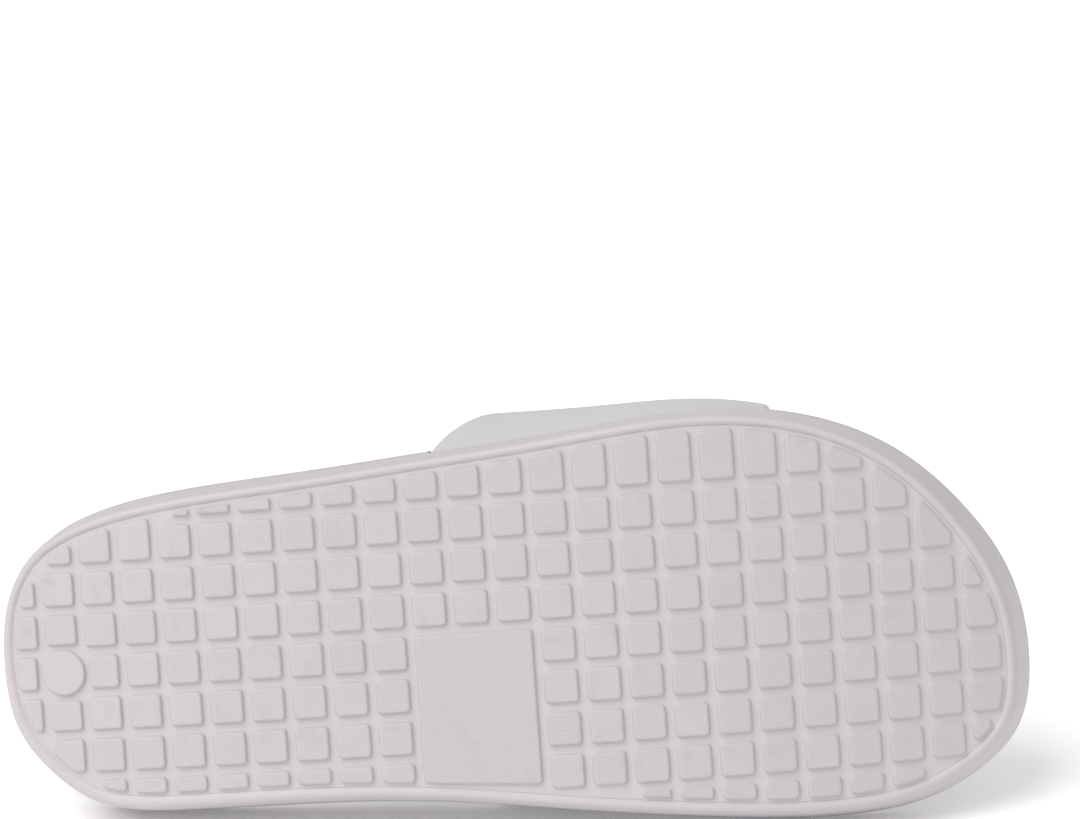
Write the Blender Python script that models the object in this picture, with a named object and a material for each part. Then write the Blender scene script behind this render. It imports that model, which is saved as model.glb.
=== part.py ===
# Right-foot sport slide sandal: tread plate, moulded midsole, footbed and one broad strap.
# The pieces are modelled standing, in metres: +X toe, +Y medial (big-toe side), +Z up, with X = 0
# at the back of the heel, Y = 0 on the heel's centre line and Z = 0 at the ground.
# An empty then lays the finished shoe on its medial side, sole edge and strap on the floor.

import math

import bmesh
import bpy
import numpy as np
from mathutils import Vector
from mathutils.geometry import delaunay_2d_cdt, intersect_point_tri

# Sole outline and side
SOLE_LENGTH = 0.287
BALL_WIDTH = 0.114
PIECE_GAP = 0.0003
HEEL_LIFT = 0.011
HEEL_ROLL_LENGTH = 0.096
TOE_SPRING = 0.024
TOE_ROLL_LENGTH = 0.130
WALL_HEIGHT = 0.026
SIDE_FLARE = 0.0048
RIM_WIDTH = 0.0020
RIM_ROUND = 0.0012
WALL_BULGE = 1.25
RIM_DRAFT = 0.0005
TOP_EDGE_BREAK = 0.0004

# Tread plate
LUG_HEIGHT = 0.0016
LUG_PITCH = 0.0115
LUG_FACE = 0.0083
LUG_DRAFT = 0.00045
LUG_CORNER = 0.0013
LUG_BORDER_GROOVE = 0.0009
SMALLEST_LUG = 0.0022
PLATE_THICKNESS = 0.0034
TREAD_START = 0.0321
TREAD_CENTRE = 0.0022
DISC_RADIUS = 0.0066
DISC_GROOVE = 0.0008
RIM_DEPTH = 0.0011

# Footbed
FOOTBED_CORE = 0.0030
FOOTBED_RIM = 0.0052
FOOTBED_SIDE = 0.0036
FOOTBED_RIM_WIDTH = 0.0040
FOOTBED_DISH_WIDTH = 0.0160
ARCH_SUPPORT = 0.0045
ARCH_SUPPORT_PLACE = 0.42  # share of SOLE_LENGTH
ARCH_SUPPORT_SPREAD = 0.13  # share of SOLE_LENGTH
ARCH_SUPPORT_REACH = 0.42  # share of BALL_WIDTH
ARCH_SUPPORT_CARRY = 0.25  # share of the support that reaches the dish

# Strap, the upper: one wall that rises from between midsole and footbed
STRAP_THICKNESS = 0.0026
STRAP_TAB = 0.0100
CUT_PAST_EDGE = 0.0030
STRAP_REAR_LATERAL = 0.1240
STRAP_REAR_MEDIAL = 0.1300
STRAP_FRONT_LATERAL = 0.2188
STRAP_FRONT_MEDIAL = 0.2230
STRAP_REAR_HEIGHT = 0.064
STRAP_FRONT_HEIGHT = 0.046
STRAP_REAR_LEAN = 0.030
STRAP_FRONT_LEAN = 0.006
LATERAL_SWELL_REAR = 0.0082
LATERAL_SWELL_FRONT = 0.0020
MEDIAL_TUCK_REAR = 0.0004
MEDIAL_TUCK_FRONT = 0.0040

# Densities in kg/m3, for the balance of the lying shoe
FOAM_DENSITY = 190
FOOTBED_DENSITY = 180
TREAD_DENSITY = 230
STRAP_DENSITY = 700

# Mesh fineness
OUTLINE_POINTS = 96
FILL_SPACING = 0.013
FILL_KEEP_OFF = 0.6  # share of FILL_SPACING
STRAP_ROWS = 11
ARCH_POINTS = 30
CUT_ROWS = 9
DISC_SIDES = 16
CREASE_ANGLE = math.radians(35)

# Outline stations from heel to toe: along is a share of SOLE_LENGTH, the half widths are shares
# of BALL_WIDTH from the heel's centre line.
OUTLINE_COLUMNS = ("along", "lateral", "medial")
OUTLINE = (
    (0.012, 0.184, 0.171),
    (0.042, 0.289, 0.276),
    (0.091, 0.353, 0.365),
    (0.174, 0.396, 0.396),
    (0.307, 0.424, 0.397),
    (0.432, 0.452, 0.412),
    (0.557, 0.481, 0.448),
    (0.662, 0.507, 0.477),
    (0.746, 0.503, 0.496),
    (0.826, 0.456, 0.500),
    (0.892, 0.365, 0.476),
    (0.944, 0.235, 0.417),
    (0.983, 0.079, 0.327),
)
HEEL_TIP_ACROSS = -0.004
TOE_TIP_ACROSS = 0.150

# Side of the sole from heel to toe: wall is a share of WALL_HEIGHT, the lateral and medial flares
# are shares of SIDE_FLARE and rim is a share of FOOTBED_RIM.
SIDE_COLUMNS = ("along", "wall", "lateral", "medial", "rim")
SIDE = (
    (0.00, 0.80, 0.60, 0.60, 1.20),
    (0.25, 1.00, 0.40, 1.00, 1.15),
    (0.50, 0.90, 0.35, 1.00, 1.00),
    (0.75, 0.72, 0.40, 0.95, 0.80),
    (1.00, 0.50, 1.05, 1.05, 0.85),
)
FLARE_BLEND = 0.25

# Strap arch from the lateral foot over the instep to the medial foot. Across is a share of the way
# between the two feet, swell a share of the lateral side's outward swell or of the medial side's
# inward tuck, up a share of the height, and rear and front are shares of each edge's forward lean.
ARCH_COLUMNS = ("across", "swell", "up", "rear", "front")
ARCH = (
    (0.000, 0.00, 0.000, 0.00, 0.00),
    (0.000, 0.30, 0.110, 0.12, -0.20),
    (0.000, 1.00, 0.480, 0.60, -0.40),
    (0.150, 0.55, 0.870, 0.92, 0.30),
    (0.520, 0.00, 1.000, 1.00, 1.00),
    (0.860, 0.50, 0.850, 0.90, 0.60),
    (1.000, 1.00, 0.450, 0.55, 0.20),
    (1.000, 0.30, 0.110, 0.12, 0.00),
    (1.000, 0.00, 0.000, 0.00, 0.00),
)

# The bare panel in the arch covers these columns and rows of the tread grid, counted from the lug
# at TREAD_START, TREAD_CENTRE; the heel disc takes one cell.
PANEL_COLUMNS = (8, 10)
PANEL_ROWS = (0, 3)
DISC_CELL = (-1, 0)

# Footbed's lip from its side to its crest: inward is a share of FOOTBED_RIM_WIDTH, drop a share of
# the height between the side's top and the rim's; the dish has loops at these shares of its width.
LIP = ((0.15, 1.00), (0.60, 0.15))
DISH_LOOPS = (0.35, 0.75)


def column(table, columns, name):
    return np.array([row[columns.index(name)] for row in table], float)


def smooth(t):
    t = np.clip(t, 0.0, 1.0)
    return t * t * (3.0 - 2.0 * t)


# Curves
def spline_slopes(knots, points, closed):
    n = len(points)
    system = np.zeros((n, n))
    right = np.zeros(points.shape)
    step = np.diff(knots)
    for i in range(n):
        if closed or 0 < i < n - 1:
            before, after = step[i - 1], step[i % len(step)]
            system[i, i - 1] += after
            system[i, i] += 2.0 * (before + after)
            system[i, (i + 1) % n] += before
            rise_before = (points[i] - points[i - 1]) / before
            rise_after = (points[(i + 1) % n] - points[i]) / after
            right[i] = 3.0 * (after * rise_before + before * rise_after)
        else:
            j = 1 if i == 0 else n - 2
            system[i, i] = 2.0
            system[i, j] = 1.0
            right[i] = 3.0 * (points[max(i, j)] - points[min(i, j)]) / step[min(i, j)]
    return np.linalg.solve(system, right)


def cubic(knots, values, slopes, at):
    # Cubic curve through the values at the knots, with the given slopes there.
    piece = np.clip(np.searchsorted(knots, at, side="right") - 1, 0, len(knots) - 2)
    width = (knots[piece + 1] - knots[piece])[:, None]
    t = (at - knots[piece])[:, None] / width
    curve = values[piece] * (2 * t ** 3 - 3 * t ** 2 + 1)
    curve += values[piece + 1] * (3 * t ** 2 - 2 * t ** 3)
    curve += width * slopes[piece] * (t ** 3 - 2 * t ** 2 + t)
    curve += width * slopes[piece + 1] * (t ** 3 - t ** 2)
    return curve


def spline_points(points, count, closed):
    # Cubic spline through the points, sampled at equal steps of its own length.
    points = np.array(points, float)
    ring = np.vstack([points, points[:1]]) if closed else points
    knots = np.concatenate([[0.0], np.cumsum(np.linalg.norm(np.diff(ring, axis=0), axis=1))])
    slopes = spline_slopes(knots, points, closed)
    slopes = np.vstack([slopes, slopes[:1]]) if closed else slopes
    curve = cubic(knots, ring, slopes, np.linspace(0.0, knots[-1], 40 * len(ring)))
    length = np.concatenate([[0.0], np.cumsum(np.linalg.norm(np.diff(curve, axis=0), axis=1))])
    targets = np.linspace(0.0, length[-1], count + 1 if closed else count)[:count]
    return np.stack([np.interp(targets, length, curve[:, k]) for k in range(curve.shape[1])], axis=1)


SIDE_ALONG = column(SIDE, SIDE_COLUMNS, "along")
SIDE_VALUES = np.array(SIDE, float)
SIDE_SLOPES = spline_slopes(SIDE_ALONG, SIDE_VALUES, closed=False)


def side_value(name, x):
    # Smooth curve through one column of the side table.
    share = np.clip(np.atleast_1d(x) / SOLE_LENGTH, 0.0, 1.0)
    values = cubic(SIDE_ALONG, SIDE_VALUES, SIDE_SLOPES, share)[:, SIDE_COLUMNS.index(name)]
    return values if np.ndim(x) else float(values[0])


def flare(outline):
    # How far the foot of the side wall lies inside the widest outline.
    blend = smooth(0.5 + outline[:, 1] / (2 * FLARE_BLEND * BALL_WIDTH))
    lateral = side_value("lateral", outline[:, 0])
    medial = side_value("medial", outline[:, 0])
    return SIDE_FLARE * (lateral + (medial - lateral) * blend)


# Heights along the sole
def ground_height(x):
    heel = np.clip(1.0 - x / HEEL_ROLL_LENGTH, 0.0, None)
    toe = np.clip((x - SOLE_LENGTH) / TOE_ROLL_LENGTH + 1.0, 0.0, None)
    return HEEL_LIFT * heel ** 2 + TOE_SPRING * toe ** 2


def parting_height(x):
    return ground_height(x) + WALL_HEIGHT * side_value("wall", x)


def field_height(x):
    return ground_height(x) + LUG_HEIGHT


def plate_top(x):
    return field_height(x) + PLATE_THICKNESS


def sole_outline():
    # Widest outline, counter-clockwise from the heel tip along the lateral side to the toe.
    along = column(OUTLINE, OUTLINE_COLUMNS, "along") * SOLE_LENGTH
    lateral = -column(OUTLINE, OUTLINE_COLUMNS, "lateral") * BALL_WIDTH
    medial = column(OUTLINE, OUTLINE_COLUMNS, "medial") * BALL_WIDTH
    points = [(0.0, HEEL_TIP_ACROSS * BALL_WIDTH)]
    points += list(zip(along, lateral))
    points.append((SOLE_LENGTH, TOE_TIP_ACROSS * BALL_WIDTH))
    points += list(zip(along[::-1], medial[::-1]))
    return spline_points(points, OUTLINE_POINTS, closed=True)


def inward_normals(loop):
    tangent = np.roll(loop, -1, axis=0) - np.roll(loop, 1, axis=0)
    tangent /= np.linalg.norm(tangent, axis=1)[:, None]
    return np.stack([-tangent[:, 1], tangent[:, 0]], axis=1)


def inset(loop, distance):
    return loop + inward_normals(loop) * np.broadcast_to(distance, len(loop))[:, None]


def edge_across(loop, x, medial):
    # Place of the outline's edge at x, on the lateral or the medial side, short of the toe's tip.
    half = loop[loop[:, 1] > 0.0] if medial else loop[loop[:, 1] <= 0.0]
    half = half[half[:, 0] < SOLE_LENGTH - RIM_WIDTH]
    order = np.argsort(half[:, 0])
    return float(np.interp(x, half[order, 0], half[order, 1]))


def edge_distance(loop, point):
    return float(np.min(np.linalg.norm(loop - np.array(point), axis=1)))


# Solids from loops and skins
class Shell:
    def __init__(self, name):
        self.name = name
        self.mesh = bmesh.new()

    def loop(self, flat, height):
        height = np.broadcast_to(height, len(flat))
        return [self.mesh.verts.new((p[0], p[1], z)) for p, z in zip(flat, height)]

    def strip(self, first, second, closed=True):
        n = len(first)
        for i in range(n if closed else n - 1):
            j = (i + 1) % n
            self.mesh.faces.new((first[i], first[j], second[j]))
            self.mesh.faces.new((first[i], second[j], second[i]))

    def skin(self, edge, raised, fill):
        # Triangles inside the edge loop, through raised loops of (x, y, z) and loose fill points.
        flat = [Vector((v.co.x, v.co.y)) for v in edge]
        verts = list(edge)
        lines = [(i, (i + 1) % len(edge)) for i in range(len(edge))]
        for ring in raised:
            start = len(flat)
            for x, y, z in ring:
                flat.append(Vector((x, y)))
                verts.append(self.mesh.verts.new((x, y, z)))
            lines += [(start + i, start + (i + 1) % len(ring)) for i in range(len(ring))]
        for x, y, z in fill:
            flat.append(Vector((x, y)))
            verts.append(self.mesh.verts.new((x, y, z)))
        _, _, faces, origins, _, _ = delaunay_2d_cdt(flat, lines, [], 1, 1e-7)
        for face in faces:
            self.mesh.faces.new([verts[origins[i][0]] for i in face])

    def finish(self, material):
        bmesh.ops.recalc_face_normals(self.mesh, faces=self.mesh.faces)
        data = bpy.data.meshes.new(self.name)
        self.mesh.to_mesh(data)
        self.mesh.free()
        data.materials.append(material)
        piece = bpy.data.objects.new(self.name, data)
        bpy.context.scene.collection.objects.link(piece)
        return piece


def fill_points(edge, height, keep_off=FILL_KEEP_OFF * FILL_SPACING):
    # A staggered grid of points that lie further than keep_off inside the edge.
    points = []
    low, high = edge.min(axis=0), edge.max(axis=0)
    rows = int((high[1] - low[1]) / FILL_SPACING) + 1
    columns = int((high[0] - low[0]) / FILL_SPACING) + 1
    for j in range(rows):
        for i in range(columns):
            x = low[0] + (i + 0.5 * (j % 2)) * FILL_SPACING
            y = low[1] + (j + 0.5) * FILL_SPACING
            if inside(edge, x, y) and edge_distance(edge, (x, y)) > keep_off:
                points.append((x, y, height(x, y)))
    return points


def inside(loop, x, y):
    following = np.roll(loop, -1, axis=0)
    crosses = (loop[:, 1] > y) != (following[:, 1] > y)
    rise = np.where(crosses, following[:, 1] - loop[:, 1], 1.0)
    at = loop[:, 0] + (y - loop[:, 1]) * (following[:, 0] - loop[:, 0]) / rise
    return bool(np.sum(crosses & (at > x)) % 2)


# Tread
def clip(polygon, point, normal):
    # Part of a convex polygon on the side of the line that the normal points to.
    kept = []
    for a, b in zip(polygon, polygon[1:] + polygon[:1]):
        da = (a[0] - point[0]) * normal[0] + (a[1] - point[1]) * normal[1]
        db = (b[0] - point[0]) * normal[0] + (b[1] - point[1]) * normal[1]
        if da >= 0.0:
            kept.append(a)
        if da * db < 0.0:
            t = da / (da - db)
            kept.append((a[0] + (b[0] - a[0]) * t, a[1] + (b[1] - a[1]) * t))
    return kept


def cut_corners(polygon, size):
    corners = []
    for i, corner in enumerate(polygon):
        here = Vector(corner)
        for other in (polygon[i - 1], polygon[(i + 1) % len(polygon)]):
            edge = Vector(other) - here
            corners.append(tuple(here + edge.normalized() * min(size, edge.length / 3)))
    return corners


def rectangle(low, high):
    return [(low[0], low[1]), (high[0], low[1]), (high[0], high[1]), (low[0], high[1])]


def cell_centre(column_index, row_index):
    return TREAD_START + LUG_PITCH * column_index, TREAD_CENTRE + LUG_PITCH * row_index


def tread_block(border, low, high, shrink):
    # A raised block's loop: its rectangle held clear of the plate's border and of the heel disc.
    block = rectangle((low[0] + shrink, low[1] + shrink), (high[0] - shrink, high[1] - shrink))
    centre = Vector(((low[0] + high[0]) / 2, (low[1] + high[1]) / 2))
    reach = (Vector(high) - Vector(low)).length / 2 + LUG_PITCH / 2
    if not inside(border, *centre) and edge_distance(border, centre) > reach:
        return []
    for point, normal in zip(border, inward_normals(border)):
        if (Vector(point) - centre).length < reach and block:
            block = clip(block, point + normal * shrink, normal)
    disc = Vector(cell_centre(*DISC_CELL))
    away = centre - disc
    if 0.0 < away.length < DISC_RADIUS + DISC_GROOVE + reach and block:
        away.normalize()
        block = clip(block, disc + away * (DISC_RADIUS + DISC_GROOVE + shrink), away)
    return block


def large_enough(polygon):
    if len(polygon) < 3:
        return False
    points = np.array(polygon)
    spread = points - points.mean(axis=0)
    axes = np.linalg.svd(spread)[2]
    width = np.ptp(spread @ axes.T, axis=0)
    return bool(width.min() > SMALLEST_LUG - 2 * LUG_DRAFT)


def tread_rings(border):
    # Foot and face loops of every lug, the bare panel and the heel disc.
    foot = LUG_FACE / 2 + LUG_DRAFT
    blocks = []
    columns = range(-3, int(SOLE_LENGTH / LUG_PITCH) + 1)
    rows = range(-int(BALL_WIDTH / LUG_PITCH), int(BALL_WIDTH / LUG_PITCH) + 1)
    for i in columns:
        for j in rows:
            on_panel = PANEL_COLUMNS[0] <= i <= PANEL_COLUMNS[1] and PANEL_ROWS[0] <= j
            if on_panel or (i, j) == DISC_CELL:
                continue
            x, y = cell_centre(i, j)
            blocks.append(((x - foot, y - foot), (x + foot, y + foot)))
    first = cell_centre(PANEL_COLUMNS[0], PANEL_ROWS[0])
    last = cell_centre(PANEL_COLUMNS[1], PANEL_ROWS[1])
    blocks.append(((first[0] - foot, first[1] - foot), (last[0] + foot, last[1] + foot)))

    rings = []
    for low, high in blocks:
        feet = tread_block(border, low, high, 0.0)
        face = tread_block(border, low, high, LUG_DRAFT)
        if large_enough(face):
            rings.append([(x, y, field_height(x)) for x, y in cut_corners(feet, LUG_CORNER)])
            rings.append([(x, y, ground_height(x)) for x, y in cut_corners(face, LUG_CORNER)])
    x0, y0 = cell_centre(*DISC_CELL)
    for radius, height in ((DISC_RADIUS, field_height), (DISC_RADIUS - LUG_DRAFT, ground_height)):
        turn = [2 * math.pi * k / DISC_SIDES for k in range(DISC_SIDES)]
        ring = [(x0 + radius * math.cos(a), y0 + radius * math.sin(a)) for a in turn]
        rings.append([(x, y, height(x)) for x, y in ring])
    return rings


def plate_outline(outline):
    return inset(outline, flare(outline) + RIM_WIDTH + RIM_DRAFT + PIECE_GAP)


def make_outsole(outline, material):
    plate = plate_outline(outline)
    border = inset(plate, LUG_BORDER_GROOVE)
    shell = Shell("outsole")
    low = shell.loop(plate, field_height(plate[:, 0]))
    high = shell.loop(plate, plate_top(plate[:, 0]))
    shell.strip(low, high)
    shell.skin(low, tread_rings(border), [])
    shell.skin(high, [], fill_points(plate, lambda x, y: plate_top(x)))
    return shell.finish(material)


# Midsole
def make_midsole(outline, material):
    x = outline[:, 0]
    foot = flare(outline)
    seat = inset(plate_outline(outline), -PIECE_GAP)
    rim = field_height(x) - RIM_DEPTH
    wall = parting_height(x) - rim

    def side(share):
        lean = TOP_EDGE_BREAK + (foot - TOP_EDGE_BREAK) * (1.0 - share) ** WALL_BULGE
        return inset(outline, lean), rim + wall * share

    shell = Shell("midsole")
    seat_x = seat[:, 0]
    loops = [
        shell.loop(seat, plate_top(seat_x) + PIECE_GAP),
        shell.loop(seat, field_height(seat_x)),
        shell.loop(inset(seat, -RIM_DRAFT), rim),
        shell.loop(inset(outline, foot + RIM_ROUND), rim),
        shell.loop(inset(outline, foot + RIM_ROUND * 0.3), rim + RIM_ROUND * 0.3),
        shell.loop(inset(outline, foot), rim + RIM_ROUND),
        shell.loop(*side(0.40)),
        shell.loop(*side(1.00)),
    ]
    for first, second in zip(loops, loops[1:]):
        shell.strip(first, second)
    floor = fill_points(seat, lambda px, py: plate_top(px) + PIECE_GAP)
    top = fill_points(outline, lambda px, py: parting_height(px))
    shell.skin(loops[0], [], floor)
    shell.skin(loops[-1], [], top)
    return shell.finish(material)


# Footbed
def footbed_height(x, y, from_edge):
    rim = FOOTBED_RIM * side_value("rim", x)
    dish = smooth((from_edge - FOOTBED_RIM_WIDTH) / FOOTBED_DISH_WIDTH)
    arch_along = math.exp(-((x / SOLE_LENGTH - ARCH_SUPPORT_PLACE) / ARCH_SUPPORT_SPREAD) ** 2)
    arch_across = smooth(y / (ARCH_SUPPORT_REACH * BALL_WIDTH))
    carried = 1.0 - (1.0 - ARCH_SUPPORT_CARRY) * dish
    support = ARCH_SUPPORT * arch_along * arch_across * carried
    return parting_height(x) + rim + (FOOTBED_CORE - rim) * dish + support


def make_footbed(outline, material, cutters):
    base = parting_height(outline[:, 0]) + PIECE_GAP
    crest_drop = FOOTBED_RIM - FOOTBED_SIDE
    shell = Shell("footbed")

    def ring(distance, drop):
        flat = inset(outline, distance)
        tall = [footbed_height(p[0], p[1], distance) - drop for p in flat]
        return flat, np.array(tall)

    low = shell.loop(inset(outline, TOP_EDGE_BREAK), base)
    edges = [low, shell.loop(outline, base + FOOTBED_SIDE / 2)]
    for inward, drop in LIP:
        edges.append(shell.loop(*ring(FOOTBED_RIM_WIDTH * inward, crest_drop * drop)))
    for first, second in zip(edges, edges[1:]):
        shell.strip(first, second)
    dished = []
    for share in DISH_LOOPS:
        flat, tall = ring(FOOTBED_RIM_WIDTH + FOOTBED_DISH_WIDTH * share, 0.0)
        dished.append([(p[0], p[1], z) for p, z in zip(flat[::2], tall[::2])])

    def dish_height(x, y):
        return footbed_height(x, y, edge_distance(outline, (x, y)))

    inner = inset(outline, FOOTBED_RIM_WIDTH + FOOTBED_DISH_WIDTH * DISH_LOOPS[-1])
    under = fill_points(outline, lambda x, y: parting_height(x) + PIECE_GAP)
    shell.skin(edges[-1], dished, fill_points(inner, dish_height))
    shell.skin(low, [], under)
    footbed = shell.finish(material)
    for cutter in cutters:
        cut = footbed.modifiers.new("room for " + cutter.name, "BOOLEAN")
        cut.operation = "DIFFERENCE"
        cut.solver = "EXACT"
        cut.object = cutter
    return footbed


# Strap
def arch_section(outline, u):
    # Middle line of the strap's wall at share u from its rear edge to its front edge.
    lateral_x = STRAP_REAR_LATERAL + (STRAP_FRONT_LATERAL - STRAP_REAR_LATERAL) * u
    medial_x = STRAP_REAR_MEDIAL + (STRAP_FRONT_MEDIAL - STRAP_REAR_MEDIAL) * u
    in_from_edge = TOP_EDGE_BREAK + STRAP_THICKNESS / 2
    lateral_y = edge_across(outline, lateral_x, False) + in_from_edge
    medial_y = edge_across(outline, medial_x, True) - in_from_edge
    height = STRAP_REAR_HEIGHT + (STRAP_FRONT_HEIGHT - STRAP_REAR_HEIGHT) * u
    lateral_swell = LATERAL_SWELL_REAR + (LATERAL_SWELL_FRONT - LATERAL_SWELL_REAR) * u
    medial_tuck = MEDIAL_TUCK_REAR + (MEDIAL_TUCK_FRONT - MEDIAL_TUCK_REAR) * u

    across, swell, up, rear, front = (column(ARCH, ARCH_COLUMNS, name) for name in ARCH_COLUMNS)
    shift = -np.where(across > 0.5, medial_tuck, lateral_swell) * swell
    lean = STRAP_REAR_LEAN * rear * (1 - u) + STRAP_FRONT_LEAN * front * u
    base = parting_height(lateral_x) * (1 - across) + parting_height(medial_x) * across
    x = lateral_x + (medial_x - lateral_x) * across + lean
    y = lateral_y + (medial_y - lateral_y) * across + shift
    z = base + PIECE_GAP + STRAP_THICKNESS / 2 + height * up
    return np.stack([x, y, z], axis=1)


def tab_point(foot, inward):
    return (foot[0], foot[1] + inward, parting_height(foot[0]) + PIECE_GAP + STRAP_THICKNESS / 2)


def thicken(section, left, right):
    # Both faces of a wall at their distances from its middle line, mitred across the foot.
    flat = section[:, 1:]
    direction = np.diff(flat, axis=0)
    direction /= np.linalg.norm(direction, axis=1)[:, None]
    normal = np.stack([-direction[:, 1], direction[:, 0]], axis=1)
    before = np.vstack([normal[:1], normal])
    after = np.vstack([normal, normal[-1:]])
    mitre = before + after
    mitre /= np.sum(mitre * before, axis=1)[:, None]
    faces = section.copy(), section.copy()
    faces[0][:, 1:] += mitre * left
    faces[1][:, 1:] -= mitre * right
    return faces


def wall_solid(name, sections, left, right, material):
    shell = Shell(name)
    outer, inner = [], []
    for section in sections:
        for face, grid in zip(thicken(section, left, right), (outer, inner)):
            grid.append(shell.loop(face[:, :2], face[:, 2]))
    for grid in (outer, inner):
        for first, second in zip(grid, grid[1:]):
            shell.strip(first, second, closed=False)
    shell.strip(outer[0], inner[0], closed=False)
    shell.strip(outer[-1], inner[-1], closed=False)
    shell.strip([row[0] for row in outer], [row[0] for row in inner], closed=False)
    shell.strip([row[-1] for row in outer], [row[-1] for row in inner], closed=False)
    return shell.finish(material)


def make_strap(outline, material):
    sections = []
    for u in np.linspace(0.0, 1.0, STRAP_ROWS):
        arch = spline_points(arch_section(outline, u), ARCH_POINTS, closed=False)
        lateral_tab = tab_point(arch[0], STRAP_TAB)
        medial_tab = tab_point(arch[-1], -STRAP_TAB)
        sections.append(np.vstack([[lateral_tab], arch, [medial_tab]]))
    return wall_solid("strap", sections, STRAP_THICKNESS / 2, STRAP_THICKNESS / 2, material)


def strap_cutter(outline, medial, material):
    # The room that one end of the strap takes in the footbed, with the gap inside and at its
    # edges; outwards it runs past the footbed's side.
    along = PIECE_GAP / (STRAP_FRONT_LATERAL - STRAP_REAR_LATERAL)
    inward = -(STRAP_TAB + PIECE_GAP) if medial else STRAP_TAB + PIECE_GAP
    sections = []
    for u in np.linspace(-along, 1.0 + along, CUT_ROWS):
        arch = spline_points(arch_section(outline, u), ARCH_POINTS * 4, closed=False)
        arch = arch[::-1] if medial else arch
        step = ARCH_POINTS // 4
        wall = arch[: 4 * step + 1 : step // 2]
        sections.append(np.vstack([[tab_point(arch[0], inward)], wall]))
    near = STRAP_THICKNESS / 2 + PIECE_GAP
    past = STRAP_THICKNESS / 2 + CUT_PAST_EDGE
    left, right = (near, past) if medial else (past, near)
    side = "medial" if medial else "lateral"
    cutter = wall_solid("strap end " + side, sections, left, right, material)
    cutter.hide_render = True
    cutter.display_type = "WIRE"
    return cutter


# Lying pose
def weighted_centre(pieces):
    total, moment = 0.0, Vector()
    for piece, density in pieces:
        data = piece.data
        data.calc_loop_triangles()
        for triangle in data.loop_triangles:
            a, b, c = (data.vertices[i].co for i in triangle.vertices)
            mass = density * a.dot(b.cross(c)) / 6.0
            total += mass
            moment += mass * (a + b + c) / 4.0
    return moment / total


def resting_normal(pieces, centre):
    # Outward normal of the hull face, on the medial side, that the shoe rests on when it leans on
    # its strap: of the faces under the centre of mass, the one that turns the tread furthest up.
    hull = bmesh.new()
    for piece, _ in pieces:
        for vertex in piece.data.vertices:
            hull.verts.new(vertex.co)
    result = bmesh.ops.convex_hull(hull, input=hull.verts, use_existing_faces=False)
    faces = [item for item in result["geom"] if isinstance(item, bmesh.types.BMFace)]
    bmesh.ops.recalc_face_normals(hull, faces=faces)
    carrying = []
    for face in faces:
        corners = [v.co for v in face.verts]
        under = centre + face.normal * face.normal.dot(corners[0] - centre)
        sideways = face.normal.y > abs(face.normal.x) and face.normal.y > abs(face.normal.z)
        if sideways and intersect_point_tri(under, *corners[:3]) is not None:
            carrying.append(face.normal.copy())
    hull.free()
    return max(carrying, key=lambda normal: normal.z)


def lay_on_side(pieces):
    centre = weighted_centre(pieces)
    normal = resting_normal(pieces, centre)
    turn = normal.rotation_difference(Vector((0.0, 0.0, -1.0)))
    points = [turn @ v.co for piece, _ in pieces for v in piece.data.vertices]
    low = Vector([min(p[k] for p in points) for k in range(3)])
    high = Vector([max(p[k] for p in points) for k in range(3)])
    shoe = bpy.data.objects.new("lying shoe", None)
    bpy.context.scene.collection.objects.link(shoe)
    shoe.rotation_mode = "QUATERNION"
    shoe.rotation_quaternion = turn
    shoe.location = (-(low.x + high.x) / 2, -(low.y + high.y) / 2, -low.z)
    return shoe


def make_material(name, colour, roughness):
    material = bpy.data.materials.new(name)
    material.use_nodes = True
    shader = material.node_tree.nodes["Principled BSDF"]
    shader.inputs["Base Color"].default_value = (*colour, 1.0)
    shader.inputs["Roughness"].default_value = roughness
    shader.inputs["Metallic"].default_value = 0.0
    return material


def build():
    for existing in list(bpy.data.objects):
        bpy.data.objects.remove(existing)

    tread = make_material("pale tread foam", (0.66, 0.62, 0.62), 0.55)
    foam = make_material("pale moulded foam", (0.72, 0.67, 0.68), 0.50)
    footbed_foam = make_material("pale footbed foam", (0.70, 0.67, 0.67), 0.60)
    strap_skin = make_material("pale coated strap", (0.68, 0.67, 0.69), 0.45)
    guide = make_material("cutting guide", (0.5, 0.5, 0.5), 1.0)

    outline = sole_outline()
    outsole = make_outsole(outline, tread)
    midsole = make_midsole(outline, foam)
    strap = make_strap(outline, strap_skin)
    cutters = [strap_cutter(outline, medial, guide) for medial in (False, True)]
    footbed = make_footbed(outline, footbed_foam, cutters)

    pieces = [
        (outsole, TREAD_DENSITY),
        (midsole, FOAM_DENSITY),
        (footbed, FOOTBED_DENSITY),
        (strap, STRAP_DENSITY),
    ]
    shoe = lay_on_side(pieces)
    for member in [piece for piece, _ in pieces] + cutters:
        member.parent = shoe
        member.data.shade_smooth()
        member.data.set_sharp_from_angle(angle=CREASE_ANGLE)


build()
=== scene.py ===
import math

import bpy
import numpy as np
from mathutils import Matrix, Vector
from mathutils.geometry import delaunay_2d_cdt


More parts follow.
